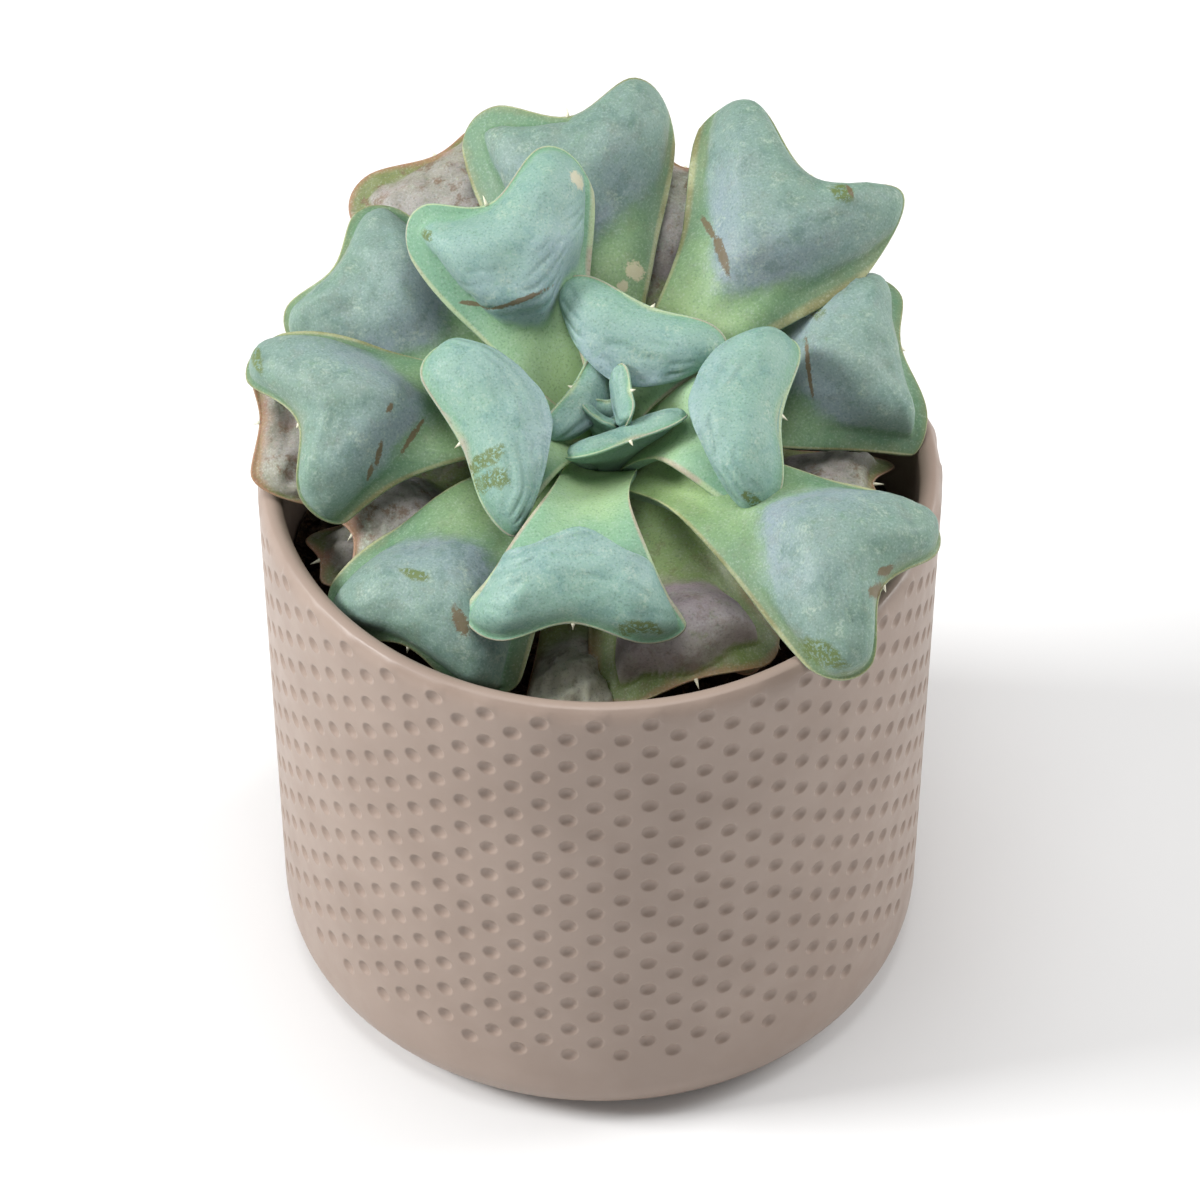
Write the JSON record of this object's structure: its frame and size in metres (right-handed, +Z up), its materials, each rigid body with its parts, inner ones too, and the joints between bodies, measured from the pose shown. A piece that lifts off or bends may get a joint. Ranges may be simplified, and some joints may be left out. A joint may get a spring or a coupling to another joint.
{
  "type": "potted echeveria",
  "caption": "Rosette of fleshy heart-shaped leaves on a short stem, standing in soil in a round ceramic pot with a dimpled wall.",
  "frame": {"origin": "centre of the pot's flat foot, on the surface that the pot stands on", "axes": "+Z up, along the pot's axis; -Y towards the viewer, the side that the rosette leans to; +X to the viewer's right"},
  "size_m": [0.1265, 0.1377, 0.1535],
  "materials": {
    "pot": "matte",
    "soil": "matte",
    "stem": "matte",
    "young_leaf": "matte",
    "grown_leaf": "matte",
    "old_leaf": "matte"
  },
  "bodies": {
    "root": {"pot": "pot", "soil": "soil", "stem": "stem", "leaf_01": "young_leaf", "leaf_02": "young_leaf", "leaf_03": "young_leaf", "leaf_04": "young_leaf", "leaf_05": "young_leaf", "leaf_06": "young_leaf", "leaf_07": "young_leaf", "leaf_08": "young_leaf", "leaf_09": "grown_leaf", "leaf_10": "grown_leaf", "leaf_11": "grown_leaf", "leaf_12": "grown_leaf", "leaf_13": "grown_leaf", "leaf_14": "grown_leaf", "leaf_15": "grown_leaf", "leaf_16": "grown_leaf", "leaf_17": "old_leaf", "leaf_18": "old_leaf", "leaf_19": "old_leaf", "leaf_20": "old_leaf", "leaf_21": "old_leaf", "leaf_22": "old_leaf", "leaf_23": "old_leaf", "leaf_24": "old_leaf", "leaf_25": "old_leaf", "leaf_26": "old_leaf"}
  },
  "joints": []
}
